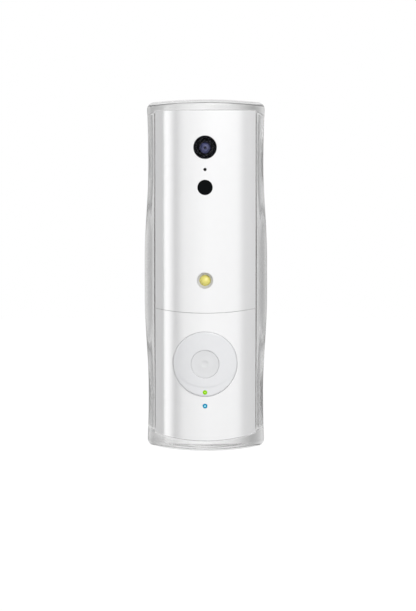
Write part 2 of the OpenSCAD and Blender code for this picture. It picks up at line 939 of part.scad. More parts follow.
module button_center() color("whitesmoke") {
    difference() {
        rod(centre_y, flange_y[0] + 0.2, centre_r, 0, button_z);
        rod(centre_y - 1, centre_y + dot_depth, dot_r, 0, button_z);
    }
    rod(flange_y[0], flange_y[1], centre_r + 1.1, 0, button_z);
    rod(flange_y[0] + 0.2, plunger_y - stem_gap, stem_r, 0, button_z);
}

module green_light_pipe() color("yellowgreen")
    intersection() {
        behind_face(-button_proud + 0.03);
        rod(face_y - 1, button_skirt_y - 1, light_r, 0, green_z);
    }

module button_retainer() color("silver")
    tube(button_skirt_y, button_skirt_y + 0.9, button_r + 1.3, button_r - 1, 0, button_z);

// Points of one ring of the spring's wire, at turn angle a and depth y
function wire_ring(a, y) =
    [for (b = [0:60:300])
        [(spring_r + wire_r * cos(b)) * cos(a), y + wire_r * sin(b),
            button_z + (spring_r + wire_r * cos(b)) * sin(a)]];

module button_spring() color("silver") {
    turns = 4;
    per_turn = 14;
    n = turns * per_turn;
    y0 = flange_y[1] + wire_r;
    y1 = button_face_y - wire_r;
    rings = [for (i = [0:n]) wire_ring(360 * i / per_turn, y0 + (y1 - y0) * i / n)];
    sides = [
        for (j = [0:n - 1], i = [0:5])
        let (a = j * 6 + i, b = j * 6 + (i + 1) % 6)
        each [[a, b + 6, b], [a, a + 6, b + 6]]
    ];
    ends = [[0, 1, 2, 3, 4, 5], [for (i = [5:-1:0]) n * 6 + i]];
    polyhedron(points = [for (ring = rings) each ring], faces = concat(sides, ends));
}

// ---------- reset button ----------

module reset_button() color("darkorange") {
    rod(back_inner_y - 0.3, back_y - 0.5, 2, 0, reset_z);
    rod(back_inner_y - 1, back_inner_y - 0.3, 2.8, 0, reset_z);
    rod(main_board_y + 2.45, back_inner_y - 1, 1, 0, reset_z);
}

wall_bracket();
rear_housing();
clear_shell();
shell_adhesive();
upper_front_cover();
lower_front_cover();
cover_seal();
housing_screws();
terminal_block();
terminal_screws();
terminal_seal();
camera_window();
camera_bezel();
lens_barrel();
front_lens();
rear_lens();
lens_holder();
ir_filter();
image_sensor();
camera_board();
camera_screws();
camera_flex();
mic_boot();
microphone();
sensor_window();
light_sensor();
sensor_board();
sensor_flex();
lamp_bezel();
lamp_led();
lamp_board();
inner_wires();
main_board();
main_board_screws();
processor_shield();
wifi_module();
wifi_antenna();
power_inductor();
power_capacitor();
flex_connectors();
reset_switch();
speaker_frame();
speaker_cone();
speaker_magnet();
speaker_gasket();
button_board();
button_board_screws();
button_switch();
button_flex();
status_leds();
blue_light_pipe();
bell_button();
button_center();
green_light_pipe();
button_retainer();
button_spring();
switch_plunger();
reset_button();
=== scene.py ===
"""Video doorbell: the visible pieces and their materials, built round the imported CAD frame.

Lengths are millimetres until a mesh is made. +Z is up and the front faces -Y.
"""
import json
import math

import bmesh
import bpy
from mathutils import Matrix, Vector


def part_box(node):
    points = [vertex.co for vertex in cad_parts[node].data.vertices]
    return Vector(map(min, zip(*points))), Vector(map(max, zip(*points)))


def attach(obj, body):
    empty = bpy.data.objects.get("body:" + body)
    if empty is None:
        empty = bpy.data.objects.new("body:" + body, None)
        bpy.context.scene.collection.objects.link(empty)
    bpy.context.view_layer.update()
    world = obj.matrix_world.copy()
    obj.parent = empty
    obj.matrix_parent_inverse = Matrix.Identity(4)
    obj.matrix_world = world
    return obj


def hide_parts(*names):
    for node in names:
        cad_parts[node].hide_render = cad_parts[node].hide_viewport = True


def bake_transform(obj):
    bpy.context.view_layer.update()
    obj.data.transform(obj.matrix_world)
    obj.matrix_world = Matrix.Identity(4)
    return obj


MM = 0.001

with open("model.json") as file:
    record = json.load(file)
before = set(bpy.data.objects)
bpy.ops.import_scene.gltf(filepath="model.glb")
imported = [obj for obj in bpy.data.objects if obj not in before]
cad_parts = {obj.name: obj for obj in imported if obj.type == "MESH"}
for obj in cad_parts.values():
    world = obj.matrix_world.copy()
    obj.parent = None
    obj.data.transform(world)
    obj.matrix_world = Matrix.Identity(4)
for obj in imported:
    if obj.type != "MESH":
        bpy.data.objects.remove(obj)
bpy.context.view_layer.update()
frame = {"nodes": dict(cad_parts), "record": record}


# ---------- sizes ----------

def box_mm(node):
    lo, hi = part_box(node)
    return [v / MM for v in lo], [v / MM for v in hi]


def middle_z(node):
    lo, hi = box_mm(node)
    return (lo[2] + hi[2]) / 2


def radius_of(node):
    lo, hi = box_mm(node)
    return (hi[0] - lo[0]) / 2


def depths(node):
    """Front and back of a node."""
    lo, hi = box_mm(node)
    return lo[1], hi[1]


upper_lo, upper_hi = box_mm("upper_front_cover")
lower_lo = box_mm("lower_front_cover")[0]
shell_hi = box_mm("clear_shell")[1]

# How far the top edge, parting line and bottom edge dip in the middle, and the face bows out
DIP = 1.2
FACE_RISE = 9.0
WALL = 2.0

# Gaps that show: between the covers, round the body, and round what sits in an opening.
# CAD_PARTING is the CAD's own gap between the covers, which sets the middle of the line
CAD_PARTING = 0.15
PARTING = 0.1
SHELL_GAP = 0.08
WINDOW_GAP = 0.04
BUTTON_GAP = 0.05
LIGHT_GAP = 0.03

BODY_HALF = upper_hi[0]
FACE_Y = upper_lo[1]
SPLIT_Y = upper_hi[1]
BODY_TOP = upper_hi[2] - DIP
BODY_BOTTOM = lower_lo[2]
PARTING_Z = upper_lo[2] - CAD_PARTING / 2
FACE_R = (BODY_HALF ** 2 + FACE_RISE ** 2) / (2 * FACE_RISE)
FACE_AXIS_Y = FACE_Y + FACE_R
DIP_R = (BODY_HALF ** 2 + DIP ** 2) / (2 * DIP)

CAMERA_Z = middle_z("camera_window")
MIC_Z = middle_z("mic_boot")
SENSOR_Z = middle_z("sensor_window")
LAMP_Z = middle_z("lamp_bezel")
BUTTON_Z = middle_z("bell_button")
GREEN_Z = middle_z("green_light_pipe")
BLUE_Z = middle_z("blue_light_pipe")

MIC_R = 0.6
WINDOW_R = radius_of("camera_window")
BARREL_R = radius_of("lens_barrel")
LENS_R = radius_of("front_lens")
SENSOR_R = radius_of("sensor_window")
LAMP_R = radius_of("lamp_bezel")
EMITTER_R = radius_of("lamp_led")
BUTTON_R = radius_of("bell_button")
LIGHT_R = radius_of("blue_light_pipe")


def face_depth(x, inset=0.0):
    """Depth of the bowed face at x, pulled in by inset."""
    r = FACE_R - inset
    return FACE_AXIS_Y - math.sqrt(r * r - x * x)


def dipped(z, grow=0.0):
    """Height by x of a dipped edge with its middle at z - grow."""
    r = DIP_R + grow
    return lambda x: z + DIP_R - math.sqrt(r * r - x * x)


def level(z):
    return lambda x: z


# ---------- mesh helpers ----------

# Points nearer than this are welded into one
WELD = 0.01
# Edges sharper than this get a bevel. Turned pieces keep the small steps of their curves
EDGE_ANGLE = 30
TURNED_ANGLE = 50


def lerp(a, b, t):
    return a + (b - a) * t


def smooth(t):
    t = min(1.0, max(0.0, t))
    return t * t * (3 - 2 * t)


def spread(a, b, n):
    return [lerp(a, b, i / n) for i in range(n + 1)]


class Sheets:
    """Grids of points, in millimetres, that are welded into one closed mesh."""

    def __init__(self):
        self.bm = bmesh.new()

    def verts(self, row):
        return [self.bm.verts.new([c * MM for c in p]) for p in row]

    def grid(self, rows, wrap=False):
        made = [self.verts(row) for row in rows]
        width = len(made[0])
        for a, b in zip(made, made[1:]):
            for i in range(width if wrap else width - 1):
                j = (i + 1) % width
                self.bm.faces.new([a[i], a[j], b[j], b[i]])

    def fan(self, ring, tip):
        made = self.verts(ring)
        centre = self.verts([tip])[0]
        for i in range(len(made)):
            self.bm.faces.new([made[i], made[(i + 1) % len(made)], centre])

    def piece(self, name):
        bmesh.ops.remove_doubles(self.bm, verts=self.bm.verts, dist=WELD * MM)
        bmesh.ops.recalc_face_normals(self.bm, faces=self.bm.faces)
        mesh = bpy.data.meshes.new(name)
        self.bm.to_mesh(mesh)
        self.bm.free()
        mesh.polygons.foreach_set("use_smooth", [True] * len(mesh.polygons))
        obj = bpy.data.objects.new(name, mesh)
        bpy.context.scene.collection.objects.link(obj)
        return obj


def turned_ring(point, x, z, segments, relief):
    """One ring of a lathe. A point on the axis makes a ring of one."""
    r, y = point[:2]
    follow = point[2] if len(point) > 2 else 0.0
    ring = []
    for i in range(segments if r else 1):
        a = 2 * math.pi * i / segments
        px, pz = x + r * math.cos(a), z + r * math.sin(a)
        depth = y + follow * (face_depth(px) - FACE_Y)
        if relief:
            depth += relief(px, pz, y)
        ring.append((px, depth, pz))
    return ring


def lathe(sheets, profile, x=0.0, z=0.0, segments=96, closed=False, relief=None):
    """Turns (radius, depth, follow) points about an axis along Y.

    follow is how much of the face's bow a point takes on, and relief adds a depth to it.
    """
    rings = [turned_ring(point, x, z, segments, relief) for point in profile]
    if closed:
        rings.append(rings[0])
    if len(rings[0]) == 1:
        sheets.fan(rings[1], rings[0][0])
        rings = rings[1:]
    if len(rings[-1]) == 1:
        sheets.fan(rings[-2], rings[-1][0])
        rings = rings[:-1]
    sheets.grid(rings, wrap=True)


def fillet(start, end, corner, steps=4, follow=0.0):
    """Points of a quarter turn between two (radius, depth) points, bulging to a corner."""
    made = []
    for k in range(steps + 1):
        a = k / steps * math.pi / 2
        away, near = 1 - math.sin(a), 1 - math.cos(a)
        r, y = (c + (s - c) * away + (e - c) * near for s, e, c in zip(start, end, corner))
        made.append((r, y, follow))
    return made


def edges(obj, width, segments=2, angle=EDGE_ANGLE):
    """Rounds an object's edges and evens the shading of its broad faces."""
    bevel = obj.modifiers.new("edges", "BEVEL")
    bevel.width = width * MM
    bevel.segments = segments
    bevel.limit_method = "ANGLE"
    bevel.angle_limit = math.radians(angle)
    bevel.miter_outer = "MITER_ARC"
    normals = obj.modifiers.new("normals", "WEIGHTED_NORMAL")
    normals.keep_sharp = False
    normals.weight = 60


def finish_piece(sheets, node, slot, body):
    """Makes the piece that stands for a CAD node: it rides on a body and has a slot's finish."""
    obj = sheets.piece(node + "_look")
    obj.data.materials.append(MATERIALS[slot])
    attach(obj, body)
    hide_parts(node)
    return obj


def turned(node, slot, z, profile, body="doorbell", closed=False, bevel=0.05, segments=96,
           relief=None):
    """Makes a round piece on the doorbell's middle line, turned about the height z."""
    sheets = Sheets()
    lathe(sheets, profile, 0, z, segments, closed, relief)
    edges(finish_piece(sheets, node, slot, body), bevel, 2, TURNED_ANGLE)


# ---------- shader helpers ----------

def plug(tree, socket, value):
    """Links another node's output to a socket, or sets the socket to a value."""
    if isinstance(value, bpy.types.NodeSocket):
        tree.links.new(value, socket)
    else:
        socket.default_value = value


def add(tree, kind, **inputs):
    """Adds a shader node. An input's name has _ where the socket's name has a space."""
    made = tree.nodes.new("ShaderNode" + kind)
    for name, value in inputs.items():
        plug(tree, made.inputs[name.replace("_", " ")], value)
    return made


def maths(tree, operation, *values):
    made = add(tree, "Math")
    made.operation = operation
    for socket, value in zip(made.inputs, values):
        plug(tree, socket, value)
    return made.outputs[0]


def noise(tree, place, size, detail):
    return add(tree, "TexNoise", Vector=place, Scale=size, Detail=detail).outputs["Fac"]


def ramp(tree, share, stops):
    """Colour by a share from 0 to 1, from (position, colour) stops."""
    made = add(tree, "ValToRGB", Fac=share)
    elements = made.color_ramp.elements
    while len(elements) < len(stops):
        elements.new(0.5)
    for element, (position, colour) in zip(elements, stops):
        element.position = position
        element.color = (*colour, 1)
    return made.outputs["Color"]


MATERIALS = {}


def shader(name, colour, roughness, metallic=0.0, coat=0.0, coat_ior=1.6, ior=1.5,
           specular=0.5, transmission=0.0, emission=0.0, mottle=0.04, grain=900.0, bump=0.02,
           stretch=(1, 1, 1), spread_rough=0.06):
    """Principled material with fine mottling, uneven roughness and a grain in its bump.

    It is kept in MATERIALS under its name.
    """
    mat = bpy.data.materials.new(name)
    mat.use_nodes = True
    tree = mat.node_tree
    place = add(tree, "TexCoord").outputs["Object"]
    scaled = add(tree, "Mapping", Vector=place, Scale=stretch).outputs["Vector"]
    fine = noise(tree, scaled, grain, 4)
    dark = [c * (1 - mottle) for c in colour]
    pale = [min(1.0, c * (1 + mottle * 0.3)) for c in colour]
    tone = ramp(tree, noise(tree, scaled, grain * 0.12, 3), [(0.3, dark), (0.7, pale)])
    rough = add(tree, "MapRange", Value=fine, To_Min=max(0.0, roughness - spread_rough / 2),
                To_Max=roughness + spread_rough / 2)
    dents = add(tree, "Bump", Height=fine, Strength=bump, Distance=0.05 * MM)
    finish = {"Base Color": tone, "Roughness": rough.outputs["Result"],
              "Normal": dents.outputs["Normal"], "Metallic": metallic, "IOR": ior,
              "Specular IOR Level": specular, "Transmission Weight": transmission,
              "Coat Weight": coat, "Coat Roughness": 0.03, "Coat IOR": coat_ior}
    if emission:
        finish.update({"Emission Color": tone, "Emission Strength": emission})
    bsdf = tree.nodes["Principled BSDF"]
    for socket, value in finish.items():
        plug(tree, bsdf.inputs[socket], value)
    MATERIALS[name] = mat
    return mat


def rings_of_colour(mat, centre_z, stops, emit=False):
    """Colours a round piece by the distance from its middle, seen from the front."""
    tree = mat.node_tree
    bsdf = tree.nodes["Principled BSDF"]
    reach = stops[-1][0]
    flat = add(tree, "Mapping", Vector=add(tree, "TexCoord").outputs["Object"],
               Location=(0, 0, -centre_z * MM), Scale=(1, 0, 1))
    far = add(tree, "VectorMath", Vector=flat.outputs["Vector"])
    far.operation = "LENGTH"
    share = add(tree, "MapRange", Value=far.outputs["Value"], From_Max=reach * MM)
    colour = ramp(tree, share.outputs["Result"], [(r / reach, rgb) for r, rgb in stops])
    plug(tree, bsdf.inputs["Base Color"], colour)
    if emit:
        plug(tree, bsdf.inputs["Emission Color"], colour)


# ---------- materials ----------

GLASSY = {"transmission": 1.0, "mottle": 0.01, "bump": 0.0, "spread_rough": 0.01}
METAL = {"metallic": 1.0, "mottle": 0.12, "spread_rough": 0.14}


def circuit_board():
    """Green solder mask over a net of paler copper tracks."""
    mat = shader("board", (0.02, 0.16, 0.07), 0.35, coat=0.5, mottle=0.15)
    tree = mat.node_tree
    upright = add(tree, "Mapping", Vector=add(tree, "TexCoord").outputs["Object"],
                  Rotation=(math.pi / 2, 0, 0))
    tracks = add(tree, "TexBrick", Vector=upright.outputs["Vector"], Scale=220,
                 Mortar_Size=0.03, Color1=(0.02, 0.15, 0.06, 1),
                 Color2=(0.025, 0.19, 0.08, 1), Mortar=(0.07, 0.33, 0.13, 1))
    plug(tree, tree.nodes["Principled BSDF"].inputs["Base Color"], tracks.outputs["Color"])


def lens_glass():
    """Coated lens whose colour paints the coatings' violet blue reflections in rings, round a
    dark pupil of painted shade.
    """
    painted_pupil_shade = (0.02, 0.02, 0.04)
    mat = shader("lens_glass", (0.2, 0.2, 0.4), 0.06, specular=0.3, mottle=0.1)
    # Painted light: the violet blue rings paint the coatings' reflections, and the near black
    # middle paints the shade inside the barrel.
    rings_of_colour(mat, CAMERA_Z, [
        (0, (0.02, 0.02, 0.035)), (0.55, painted_pupil_shade), (0.75, (0.14, 0.15, 0.27)),
        (1.5, (0.08, 0.09, 0.18)), (1.9, (0.12, 0.13, 0.25)), (2.2, (0.01, 0.01, 0.02))])


def mic_can():
    """Metal can of the microphone with a real port in the middle, painted near black as wide as
    the cover's hole: painted shade down that hole.
    """
    port_and_painted_shade = (0.003, 0.003, 0.003)
    mat = shader("mic_can", (0.62, 0.63, 0.65), 0.35, specular=0.1, mottle=0.1)
    # Painted shade: the near black middle, as wide as the cover's mic hole, stands for the shade
    # down the hole over the real port.
    rings_of_colour(mat, MIC_Z, [
        (0, port_and_painted_shade), (0.62, port_and_painted_shade), (0.7, (0.5, 0.5, 0.52)), (0.9, (0.55, 0.55, 0.57))])


def light_blue():
    """Lit end of a light pipe: a pale spark in deep blue."""
    mat = shader("light_blue", (0.01, 0.35, 0.55), 0.15, specular=0.0, emission=0.15)
    rings_of_colour(mat, BLUE_Z, [
        (0, (0.9, 1.0, 1.0)), (0.14, (0.6, 0.95, 1.0)), (0.36, (0.0, 0.36, 0.52)),
        (0.9, (0.0, 0.18, 0.42))], emit=True)


def light_green():
    """Lit end of a light pipe: a pale spark in leaf green."""
    mat = shader("light_green", (0.3, 0.7, 0.03), 0.15, specular=0.0, emission=0.15)
    rings_of_colour(mat, GREEN_Z, [
        (0, (0.7, 1.0, 0.35)), (0.1, (0.6, 1.0, 0.25)), (0.3, (0.26, 0.62, 0.0)),
        (0.9, (0.24, 0.56, 0.0))], emit=True)


shader("shell_clear", (0.985, 0.985, 0.985), 0.12, ior=1.49, **GLASSY)
shader("cover_white", (0.84, 0.84, 0.845), 0.22, coat=1.0, coat_ior=1.9, ior=1.6,
       mottle=0.008, grain=2500, bump=0.01)
shader("button_white", (0.79, 0.795, 0.81), 0.34, coat=0.5, ior=1.55, mottle=0.012,
       grain=2500, bump=0.02)
shader("centre_white", (0.745, 0.75, 0.76), 0.38, coat=0.3, mottle=0.015, grain=2500,
       bump=0.03)
shader("housing_white", (0.78, 0.78, 0.78), 0.46, mottle=0.03, grain=5200, bump=0.35)
shader("bracket_grey", (0.45, 0.46, 0.47), 0.5, mottle=0.05, grain=4200, bump=0.45)
shader("seal_rubber", (0.02, 0.02, 0.022), 0.7, specular=0.2, mottle=0.2, bump=0.2)
shader("foam", (0.06, 0.065, 0.07), 0.95, mottle=0.4, grain=3800, bump=0.9)
shader("adhesive", (0.72, 0.73, 0.74), 0.3, mottle=0.1, bump=0.2)
shader("steel", (0.62, 0.63, 0.65), 0.3, **METAL, stretch=(1, 1, 9))
shader("spring_steel", (0.5, 0.51, 0.53), 0.25, **METAL)
shader("brass", (0.78, 0.6, 0.28), 0.28, **METAL)
shader("aluminium", (0.75, 0.76, 0.78), 0.35, **METAL, stretch=(8, 1, 1))
shader("terminal_green", (0.1, 0.28, 0.13), 0.42, mottle=0.08, bump=0.2)
shader("window_glass", (0.85, 0.85, 0.92), 0.01, ior=1.1, specular=0.06, **GLASSY)
shader("filter_glass", (0.5, 0.75, 0.85), 0.05, ior=1.5, **GLASSY)
shader("black_matt", (0.012, 0.012, 0.014), 0.42, specular=0.12, mottle=0.3, bump=0.2)
shader("black_gloss", (0.004, 0.005, 0.006), 0.06, specular=0.02, mottle=0.3, bump=0.005)
shader("chip", (0.03, 0.03, 0.033), 0.5, mottle=0.2, bump=0.3)
shader("flex", (0.55, 0.27, 0.06), 0.35, coat=0.4, mottle=0.12, stretch=(6, 1, 1))
shader("connector", (0.78, 0.74, 0.62), 0.45, mottle=0.05, bump=0.1)
shader("lamp_grey", (0.6, 0.6, 0.58), 0.35, mottle=0.08, bump=0.1)
shader("phosphor", (0.84, 0.76, 0.2), 0.3, coat=0.6, emission=0.06, mottle=0.12,
       grain=2600, bump=0.1)
shader("wire_red", (0.5, 0.03, 0.03), 0.45, mottle=0.08, bump=0.1)
shader("cone", (0.02, 0.02, 0.022), 0.75, mottle=0.3, grain=4800, bump=0.6)
shader("led", (0.85, 0.83, 0.6), 0.25, coat=0.6, mottle=0.1)
shader("reset_orange", (0.75, 0.22, 0.02), 0.4, mottle=0.05, bump=0.1)
circuit_board()
lens_glass()
mic_can()
light_blue()
light_green()

SLOTS = {part["node"]: part["material_slot"] for part in frame["record"]["subparts"]}


# ---------- front covers ----------

COLUMNS = 48
HOLE_ROWS = 12
HOLE_RINGS = 12
SIDE_COLUMNS = 10
ROW_STEP = 1.6
COVER_EDGE = 0.1
# Rings lie closer together towards the hole
RING_CROWDING = 1.2


def plain_band(low, high):
    return low, high, max(1, round((high(0) - low(0)) / ROW_STEP)), None


def bands(low, high, holes):
    """Splits a cover's height into plain bands and one band round each hole.

    A band is its lower edge, its upper edge, how many rows it has, and its hole.
    """
    made = []
    at = low
    for hole_z, hole_r, reach in holes:
        below, above = level(hole_z - reach), level(hole_z + reach)
        made.append(plain_band(at, below))
        made.append((below, above, HOLE_ROWS, (hole_z, hole_r)))
        at = above
    made.append(plain_band(at, high))
    return made


def band_border(half, band):
    """Points (x, z) round a band, from its lower left corner."""
    low, high, rows, _ = band
    xs = spread(-half, half, COLUMNS)
    border = [(x, low(x)) for x in xs]
    border += [(half, z) for z in spread(low(half), high(half), rows)[1:]]
    border += [(x, high(x)) for x in reversed(xs[:-1])]
    border += [(-half, z) for z in spread(high(-half), low(-half), rows)[1:-1]]
    return border


def hole_band(sheets, half, band, depth):
    """Rings that open out from a hole to the edges of its band. Returns the hole's rim."""
    hole_z, hole_r = band[3]
    border = band_border(half, band)
    start = -math.pi / 2 - math.pi * COLUMNS / len(border)
    rings = []
    for k in range(HOLE_RINGS + 1):
        t = (k / HOLE_RINGS) ** RING_CROWDING
        ring = []
        for i, (x, z) in enumerate(border):
            a = start + 2 * math.pi * i / len(border)
            px = lerp(hole_r * math.cos(a), x, t)
            ring.append((px, depth(px), lerp(hole_z + hole_r * math.sin(a), z, t)))
        rings.append(ring)
    sheets.grid(rings, wrap=True)
    return [(x, z) for x, _, z in rings[0]]


def cover_skin(sheets, inset, stack, closed_top):
    """Outer or inner face of a cover. Returns its open edges and the rims of its holes."""
    half = BODY_HALF - inset
    xs = spread(-half, half, COLUMNS)
    ys = spread(face_depth(half, inset), SPLIT_Y, SIDE_COLUMNS)

    def depth(x):
        return face_depth(x, inset)

    rims, heights = [], []
    for band in stack:
        low, high, rows, hole = band
        steps = spread(0, 1, rows)
        if hole:
            rims.append(hole_band(sheets, half, band, depth))
        else:
            sheets.grid([[(x, depth(x), lerp(low(x), high(x), t)) for x in xs] for t in steps])
        for side in (-half, half):
            sheets.grid([[(side, y, lerp(low(side), high(side), t)) for y in ys] for t in steps])
        heights += [lerp(low(half), high(half), t) for t in steps]
    lowest, highest = stack[0][0], stack[-1][1]
    end, free = (highest, lowest) if closed_top else (lowest, highest)
    sheets.grid([[(x, lerp(depth(x), SPLIT_Y, t), end(x)) for x in xs]
                 for t in spread(0, 1, SIDE_COLUMNS)])
    if not closed_top:
        heights.reverse()
    free_edge = [(-half, y, free(half)) for y in reversed(ys)]
    free_edge += [(x, depth(x), free(x)) for x in xs]
    free_edge += [(half, y, free(half)) for y in ys]
    back_edge = [(-half, SPLIT_Y, z) for z in heights]
    back_edge += [(x, SPLIT_Y, end(x)) for x in xs]
    back_edge += [(half, SPLIT_Y, z) for z in reversed(heights)]
    return free_edge, back_edge, rims


# How far a boss is sunk into the wall behind the face
BOSS_ROOT = 0.4


def boss(sheets, x, z, outer, bore, back):
    """Round boss on a cover's inner face, open through its bore."""
    root = FACE_Y + WALL - BOSS_ROOT
    lathe(sheets, [(bore, root, 1), (outer, root, 1), (outer, back), (bore, back)],
          x, z, segments=48, closed=True)


def cover(name, low, high, holes, closed_top, bosses):
    """A front cover: outer and inner face, joined at its edges and through its holes."""
    sheets = Sheets()
    if closed_top:
        inner_low, inner_high = low, dipped(BODY_TOP, WALL)
    else:
        inner_low, inner_high = dipped(BODY_BOTTOM, -WALL), high
    stack = bands(low, high, holes)
    inner = list(stack)
    inner[0] = (inner_low, *inner[0][1:])
    inner[-1] = (inner[-1][0], inner_high, *inner[-1][2:])
    outside = cover_skin(sheets, 0.0, stack, closed_top)
    inside = cover_skin(sheets, WALL, inner, closed_top)
    for a, b in zip(outside[:2], inside[:2]):
        sheets.grid([a, b])
    for a, b in zip(outside[2], inside[2]):
        sheets.grid([[(x, face_depth(x), z) for x, z in a],
                     [(x, face_depth(x, WALL), z) for x, z in b]], wrap=True)
    for place in bosses:
        boss(sheets, *place)
    edges(finish_piece(sheets, name, "cover_white", "doorbell"), COVER_EDGE, 3)


# Openings: height, radius, and how far their band reaches above and below
CAMERA_HOLE = (CAMERA_Z, WINDOW_R + WINDOW_GAP, 5.6)
MIC_HOLE = (MIC_Z, MIC_R, 2.2)
SENSOR_HOLE = (SENSOR_Z, SENSOR_R + WINDOW_GAP, 4.0)
LAMP_HOLE = (LAMP_Z, LAMP_R + WINDOW_GAP, 5.0)
BUTTON_HOLE = (BUTTON_Z, BUTTON_R + BUTTON_GAP, 14.0)
BLUE_HOLE = (BLUE_Z, LIGHT_R + LIGHT_GAP, 1.6)

# Bosses for screws: outer radius, bore's radius, and depth of the back end
HOUSING_BOSS = (2.6, 1.07, SPLIT_Y)
CAMERA_BOSS = (1.6, 0.82, -20.4)
BOARD_BOSS = (1.7, 0.72, -19)
HOUSING_SCREW_X = 14.4
UPPER_SCREW_ZS = (57, -7)
LOWER_SCREW_Z = -57
# The camera board's two screws lie across a corner from each other
CAMERA_SCREW_X = 8.4
CAMERA_SCREW_Z = 7.9
BOARD_SCREW_X = 14.2
BOARD_SCREW_ZS = (-20.8, -49)


def opening_boss(z, r, gap, wall, back):
    """Boss round the opening for a part of radius r, as deep as back."""
    return 0, z, r + wall, r + gap, back


def upper_front_cover():
    bosses = [opening_boss(CAMERA_Z, WINDOW_R, WINDOW_GAP, 1.6, -27),
              opening_boss(SENSOR_Z, SENSOR_R, WINDOW_GAP, 1.4, -28.5),
              opening_boss(LAMP_Z, LAMP_R, WINDOW_GAP, 1.9, -27.5)]
    bosses += [(side * CAMERA_SCREW_X, CAMERA_Z - side * CAMERA_SCREW_Z, *CAMERA_BOSS)
               for side in (-1, 1)]
    bosses += [(side * HOUSING_SCREW_X, z, *HOUSING_BOSS)
               for side in (-1, 1) for z in UPPER_SCREW_ZS]
    cover("upper_front_cover", dipped(PARTING_Z + PARTING / 2), dipped(BODY_TOP),
          [LAMP_HOLE, SENSOR_HOLE, MIC_HOLE, CAMERA_HOLE], True, bosses)


def lower_front_cover():
    bosses = [opening_boss(BUTTON_Z, BUTTON_R, BUTTON_GAP, 1.6, -25.4),
              opening_boss(BLUE_Z, LIGHT_R, LIGHT_GAP, 1.1, -25)]
    bosses += [(side * BOARD_SCREW_X, z, *BOARD_BOSS)
               for side in (-1, 1) for z in BOARD_SCREW_ZS]
    bosses += [(side * HOUSING_SCREW_X, LOWER_SCREW_Z, *HOUSING_BOSS) for side in (-1, 1)]
    cover("lower_front_cover", dipped(BODY_BOTTOM), dipped(PARTING_Z - PARTING / 2),
          [BLUE_HOLE, BUTTON_HOLE], False, bosses)


upper_front_cover()
lower_front_cover()


# ---------- clear shell ----------

SHELL_HALF_H = shell_hi[2]
SHELL_BACK_Y = shell_hi[1]

# Half widths at the belly, the waists and the ends
BELLY_HALF = shell_hi[0]
WAIST_HALF = 23.0
END_HALF = 23.6
# Height of the belly's middle, and how far its widest stretch and the waists are from it
BELLY_Z = -1.2
BELLY_FLAT = 7.0
WAIST_AT = 45.5

# Rounding of the outline's corners, of the back edge, and of the front at the ends
CORNER_R = 3.2
BACK_R = 0.9
NOSE = 3.5
BACK_MID = SHELL_BACK_Y - BACK_R

# The front stands back from the face by SHELL_STEP and bows with it out to BOW_X. The side
# is straight behind RIM_Y, and a curve with these two pulls joins them
SHELL_STEP = 0.25
BOW_X = 19.0
RIM_Y = -14.1
SIDE_PULL = 4.5
FRONT_PULL = 0.55
BOW_R = FACE_R - SHELL_STEP
BOW_ANGLE = math.asin(BOW_X / BOW_R)
BOW_Y = FACE_AXIS_Y - BOW_R * math.cos(BOW_ANGLE)

# The window for the body, the wider rebate for the housing's flange, and their rounded lips
OPENING = BODY_HALF + SHELL_GAP
REBATE = 1.27
REBATE_Y = -5.05
WALL_YS = (-16.0, -8.0, REBATE_Y)
LIP = 0.3
FRONT_EDGE = OPENING + LIP
BACK_EDGE = OPENING + REBATE + LIP

MID_COLUMNS = 40
TURN_COLUMNS = 16
FLANK_COLUMNS = 6
END_ROWS = 20
MID_ROWS = 110
HALVINGS = 40


def shell_half(z):
    """Half width of the shell at height z: belly, waists, wider ends."""
    a = abs(z - BELLY_Z)
    if a < BELLY_FLAT:
        return BELLY_HALF
    if a < WAIST_AT:
        t = (a - BELLY_FLAT) / (WAIST_AT - BELLY_FLAT)
        return BELLY_HALF - (BELLY_HALF - WAIST_HALF) * (1 - math.cos(math.pi * t)) / 2
    t = (a - WAIST_AT) / (SHELL_HALF_H - WAIST_AT)
    return WAIST_HALF + (END_HALF - WAIST_HALF) * t * t


def rounded(z, over):
    """What is left, as a part of one, where an end rounds off over a length."""
    t = max(0.0, abs(z) - SHELL_HALF_H + over) / over
    return math.sqrt(max(0.0, 1 - t * t))


def side_point(w, t):
    """Point on the curve from the straight side, at half width w, to the bowed front."""
    pull = FRONT_PULL * (w - BOW_X)
    handles = ((w, RIM_Y), (w, RIM_Y - SIDE_PULL),
               (BOW_X + pull, BOW_Y + pull * math.tan(BOW_ANGLE)), (BOW_X, BOW_Y))
    u = 1 - t
    weights = (u ** 3, 3 * u * u * t, 3 * u * t * t, t ** 3)
    return [sum(k * p[i] for k, p in zip(weights, handles)) for i in (0, 1)]


def side_turn(w, x):
    """Where on the side curve of half width w it is x from the middle."""
    low, high = 0.0, 1.0
    for _ in range(HALVINGS):
        t = (low + high) / 2
        if side_point(w, t)[0] > x:
            low = t
        else:
            high = t
    return (low + high) / 2


def front_y(x, w):
    x = abs(x)
    if x <= BOW_X:
        return FACE_AXIS_Y - math.sqrt(BOW_R * BOW_R - x * x)
    return side_point(w, side_turn(w, x))[1]


def back_y(x, w):
    over = max(0.0, abs(x) - (w - BACK_R))
    return BACK_MID + math.sqrt(max(0.0, BACK_R ** 2 - over ** 2))


def shell_point(x, y, z):
    """Brings a point of the straight section in at the rounded ends."""
    narrow = 1 - CORNER_R * (1 - rounded(z, CORNER_R)) / shell_half(z)
    if y < RIM_Y:
        y = RIM_Y + (y - RIM_Y) * rounded(z, NOSE)
    elif y > BACK_MID:
        y = BACK_MID + (y - BACK_MID) * rounded(z, BACK_R)
    return (x * narrow, y, z)


def front_skin(x, z):
    return shell_point(x, front_y(x, shell_half(z)), z)


def back_skin(x, z):
    return shell_point(x, back_y(x, shell_half(z)), z)


def opening_top(grow):
    return dipped(BODY_TOP, -SHELL_GAP - grow)


